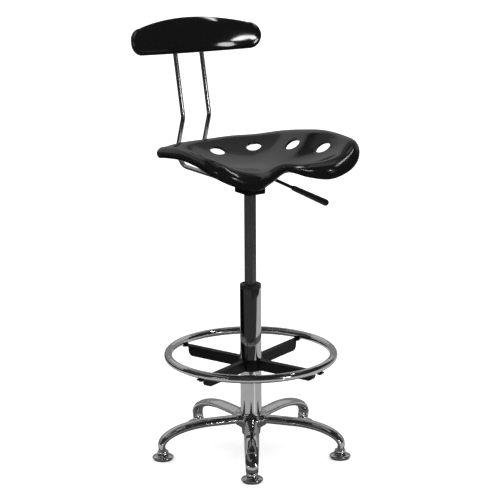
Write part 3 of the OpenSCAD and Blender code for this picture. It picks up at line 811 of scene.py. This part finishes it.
def make_clamp():
    """The spider's hub round the column, its boss, and the lobed knob outside the boss."""
    low, top = [corner.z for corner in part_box("ring_spider")]
    tube = radius_of("column_tube")
    bore, outer = tube + 0.08 * MM, tube + 3.5 * MM
    lathe("spider_hub", [(bore, low, 0.5 * MM), (outer, low, 0.8 * MM), (outer, top, 0.8 * MM),
                         (bore, top, 0.5 * MM)],
          "foot_ring", ["ring_spider"], "black_steel")
    outwards = (Matrix.Rotation(FIRST_ARM + math.pi / ARM_COUNT, 4, "Z")
                @ Matrix.Translation((0, 0, (low + top) / 2))
                @ Matrix.Rotation(math.pi / 2, 4, "Y"))
    stud, boss, boss_end = 4.1 * MM, 10 * MM, tube + 13.5 * MM
    lathe("spider_boss", [(stud, tube + 1 * MM), (boss, tube + 1 * MM), (boss, boss_end, 1 * MM),
                          (stud, boss_end)],
          "foot_ring", ["ring_spider"], "black_steel", outwards, 48)
    lobes, steps, knob, lobe = 6, 96, 17.3 * MM, 1.7 * MM
    outline = []
    for k in range(steps):
        a = math.tau * k / steps
        r = knob + lobe * math.cos(lobes * a)
        outline.append((r * math.cos(a), r * math.sin(a)))
    slab("knob_body", outline, tube + 16 * MM, tube + 34 * MM, 1.6 * MM, "clamp_knob",
         ["clamp_knob"], "black_plastic", outwards)


make_seat()
make_backrest()
make_backrest_plate()
make_back_rods()
make_lever()
make_column()
make_lift()
make_collar()
make_housing()
make_base()
make_ring()
make_clamp()


# ---- CAD nodes that stay ----

slots = {part["node"]: part["material_slot"] for part in frame["record"]["subparts"]}
for name, node in frame["nodes"].items():
    node.data.materials.clear()
    node.data.materials.append(MATERIALS[slots[name]])


# ---- Floor, light and camera ----

AZIMUTH = math.radians(34)
TOWARD = Vector((-math.sin(AZIMUTH), -math.cos(AZIMUTH), 0))
RIGHT = Vector((math.cos(AZIMUTH), -math.sin(AZIMUTH), 0))

FLOOR_HALF = 40
FLOOR_GLOW = 0.35
# Strength of the world's light, and of what reflections see of the world
WORLD_LIGHT = 1.15
WORLD_REFLECTED = 0.035
SOFTBOX_SIZE = 2
SOFTBOX_POWER = 5
SOFTBOX_PLACE = (0.3, 0.3, 3.2)

# The room's dome. The height is its centre's
ROOM_R = 8
ROOM_Z = 0.6
# Bands of the room that only reflections see: from and to elevation, from and to azimuth from the
# camera's side towards its right, in degrees, and radiance
ROOM = [
    (-1, 20, 104, 260, 0.24), (20, 41, 112, 250, 0.46), (41, 60, 112, 360, 0.2),
    (60, 72, 0, 360, 0.06),
]
BAND_STEP = 6
# Small lamps that only reflections see: corners as azimuth and elevation, and radiance. The first
# three have their corners from the photograph's highlights, worked out by a program.
LAMPS = [
    ([(45, 10), (43.5, 14), (40, 17), (35.5, 18), (34.5, 14.5), (39, 10.5)], 13),
    ([(52, 1), (52, 6), (48.5, 8), (44, 7), (42.5, -0.5), (46.5, -6)], 7.5),
    ([(61, 36.5), (62, 35.5), (75.5, 47), (90.5, 54), (105, 58), (104.5, 59.5), (90, 56),
      (73.5, 48.5)], 11),
    ([(-50, -3.5), (-50, -4.5), (-31, -3.5), (-31, -2.5)], 4),
    ([(-50, -6.5), (-50, -7.5), (-31, -6.5), (-31, -5.5)], 4),
]
LAMP_SHARE = 0.8
# What only reflections see of the floor: a pale paper, a shade round the column, a strip of
# painted light in front of it and a dark stretch at the left. All lie just under the floor, shade
# and strip on top.
# Rectangles go from left to right and from near to far, as in level()
PAPER = (-0.75, 6, 0.75, -7)
DARK = (-3, -0.76, 0.45, -1.3)
PAPER_Z = -0.002
SHADE_Z = -0.001
PAPER_GLOW = 0.47
SHADE_GLOW = 0.1
SHADE_R = 0.27
STRIP_GLOW = 1.5
DARK_GLOW = 0.003
# Distance and azimuth of the strip's corners
STRIP = [(0.33, 36), (0.9, 37.5), (0.9, 40), (0.33, 41.5)]
# Black cards that keep the lamps out of the chrome below the seat: both ends of the upright ones
# in plan, their heights, and the level one under the seat
CARD_GLOW = 0.02
CARDS = [((0.5, -0.3), (0.5, 0.42)), ((0.5, 0.42), (0.08, 0.6))]
CARD_LOW, CARD_HIGH = 0.3, 0.8
LEVEL_CARD = (-0.2, 0.3, 0.48, 0.12)
LEVEL_CARD_Z = 0.56

CAMERA_REACH = 4.739
CAMERA_Z = 1.721
PITCH = math.radians(14.591)
TILT = math.radians(0.289)
LENS = 152.2
SHIFT_X = -0.0006


def glow(name, radiance):
    material = bpy.data.materials.new(name)
    material.use_nodes = True
    nodes, links = material.node_tree.nodes, material.node_tree.links
    nodes.clear()
    out = nodes.new("ShaderNodeOutputMaterial")
    emit = nodes.new("ShaderNodeEmission")
    emit.inputs["Color"].default_value = (1, 1, 1, 1)
    emit.inputs["Strength"].default_value = radiance
    links.new(emit.outputs["Emission"], out.inputs["Surface"])
    return material


def stage_mesh(name, points, faces, material, reflected=True):
    """Mesh of the stage that only reflections see or, if not reflected, only the rest sees."""
    mesh = bpy.data.meshes.new(name)
    mesh.from_pydata(points, [], faces)
    mesh.materials.append(material)
    obj = bpy.data.objects.new(name, mesh)
    bpy.context.scene.collection.objects.link(obj)
    obj.visible_glossy = reflected
    obj.visible_camera = obj.visible_diffuse = obj.visible_shadow = not reflected


def panel(name, corners, material, reflected=True):
    stage_mesh(name, corners, [tuple(range(len(corners)))], material, reflected)


def studio(x, near, z):
    """Point x to the camera's right, near towards it, z up, from the chair's axis on the floor."""
    return RIGHT * x + TOWARD * near + UP * z


def level(left_x, right_x, near, far, z):
    """Corners of a level rectangle in the studio."""
    return [studio(left_x, near, z), studio(right_x, near, z), studio(right_x, far, z),
            studio(left_x, far, z)]


def room(azimuth, elevation, share=1.0):
    """Point on the room's dome, or at a share of its radius."""
    a, e = math.radians(azimuth), math.radians(elevation)
    reach = ROOM_R * share * math.cos(e)
    return studio(reach * math.sin(a), reach * math.cos(a), ROOM_Z + ROOM_R * share * math.sin(e))


def make_floor():
    white = make_material("floor_white", (0.96, 0.96, 0.96), 0.9, mottle=0.02, mottle_size=0.3)
    shader = white.node_tree.nodes["Principled BSDF"]
    shader.inputs["Emission Color"].default_value = (1, 1, 1, 1)
    shader.inputs["Emission Strength"].default_value = FLOOR_GLOW
    half = FLOOR_HALF
    panel("floor", [(-half, -half, 0), (half, -half, 0), (half, half, 0), (-half, half, 0)], white,
          reflected=False)
    panel("paper", level(*PAPER, PAPER_Z), glow("paper_glow", PAPER_GLOW))
    panel("paper_shade", [studio(x, y, SHADE_Z) for x, y in ellipse(SHADE_R, SHADE_R)],
          glow("shade_glow", SHADE_GLOW))
    # The strip glows only so that the chrome shows a painted line of light in its reflection.
    panel("painted_light_strip", [studio(r * math.sin(math.radians(a)), r * math.cos(math.radians(a)),
                                SHADE_Z) for r, a in STRIP], glow("painted_light_glow", STRIP_GLOW))
    panel("paper_dark", level(*DARK, PAPER_Z), glow("dark_glow", DARK_GLOW))


def make_cards():
    black = glow("card_glow", CARD_GLOW)
    for k, (a, b) in enumerate(CARDS):
        panel(f"card_{k + 1}", [studio(*a, CARD_LOW), studio(*b, CARD_LOW), studio(*b, CARD_HIGH),
                                studio(*a, CARD_HIGH)], black)
    panel("card_under_seat", level(*LEVEL_CARD, LEVEL_CARD_Z), black)


def make_room():
    for k, (corners, radiance) in enumerate(LAMPS):
        panel(f"room_lamp_{k + 1}", [room(a, e, LAMP_SHARE) for a, e in corners],
              glow(f"lamp_glow_{k + 1}", radiance))
    for k, (low, high, start, end, radiance) in enumerate(ROOM):
        count = math.ceil((end - start) / BAND_STEP)
        points = [room(start + (end - start) * j / count, elevation)
                  for elevation in (low, high) for j in range(count + 1)]
        faces = [(j, j + 1, j + count + 2, j + count + 1) for j in range(count)]
        stage_mesh(f"room_{k + 1}", points, faces, glow(f"room_glow_{k + 1}", radiance))


def make_world():
    world = bpy.data.worlds.new("studio")
    bpy.context.scene.world = world
    world.cycles.sampling_method = "NONE"
    world.use_nodes = True
    nodes, links = world.node_tree.nodes, world.node_tree.links
    nodes.clear()
    out = nodes.new("ShaderNodeOutputWorld")
    mix = nodes.new("ShaderNodeMixShader")
    ray = nodes.new("ShaderNodeLightPath")
    # Reflections see a dark world behind the room, and everything else an even white one
    links.new(ray.outputs["Is Glossy Ray"], mix.inputs["Fac"])
    for k, strength in ((1, WORLD_LIGHT), (2, WORLD_REFLECTED)):
        background = nodes.new("ShaderNodeBackground")
        background.inputs["Color"].default_value = (1, 1, 1, 1)
        background.inputs["Strength"].default_value = strength
        links.new(background.outputs["Background"], mix.inputs[k])
    links.new(mix.outputs["Shader"], out.inputs["Surface"])


def make_softbox():
    data = bpy.data.lights.new("softbox", "AREA")
    data.size, data.energy = SOFTBOX_SIZE, SOFTBOX_POWER
    lamp = bpy.data.objects.new("softbox", data)
    bpy.context.scene.collection.objects.link(lamp)
    lamp.location = studio(*SOFTBOX_PLACE)
    lamp.visible_camera = False


def make_camera():
    data = bpy.data.cameras.new("camera")
    data.sensor_width = 36
    data.lens = LENS
    data.shift_x = SHIFT_X
    camera = bpy.data.objects.new("camera", data)
    bpy.context.scene.collection.objects.link(camera)
    place = Matrix.Translation(TOWARD * CAMERA_REACH + UP * CAMERA_Z)
    ahead = -TOWARD * math.cos(PITCH) - UP * math.sin(PITCH)
    look = ahead.to_track_quat("-Z", "Y").to_matrix().to_4x4()
    camera.matrix_world = place @ look @ Matrix.Rotation(-TILT, 4, "Z")
    bpy.context.scene.camera = camera


make_floor()
make_cards()
make_room()
make_world()
make_softbox()
make_camera()
bpy.context.scene.view_settings.view_transform = "Standard"
